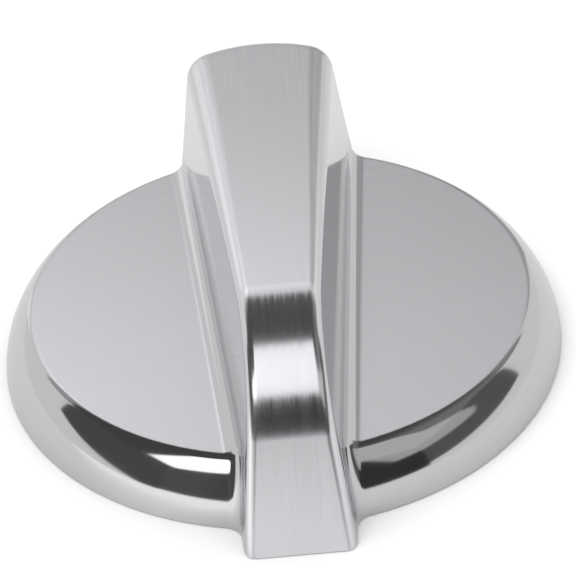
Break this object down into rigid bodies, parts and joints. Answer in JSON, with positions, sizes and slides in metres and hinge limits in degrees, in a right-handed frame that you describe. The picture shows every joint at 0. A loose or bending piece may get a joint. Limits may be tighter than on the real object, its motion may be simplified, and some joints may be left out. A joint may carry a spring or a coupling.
{
  "type": "oven control knob",
  "caption": "Satin metal oven control knob: round skirted disc with a raised finger bar that bends down to a pointer tip, hollow back and a D-shaped stem socket.",
  "frame": {"origin": "on the turning axis, in the plane of the rear rim", "axes": "+Z along the turning axis out of the panel, Y along the finger bar with the pointer tip at -Y"},
  "size_m": [0.056, 0.0632, 0.0185],
  "materials": {
    "satin_plated_zinc": "satin plating over a zinc die casting",
    "black_nylon": "moulded, matte",
    "spring_steel": "rolled strip, bare"
  },
  "bodies": {
    "root": {"knob_body": "satin_plated_zinc", "stem_insert": "black_nylon", "spring_clip": "spring_steel"}
  },
  "joints": []
}
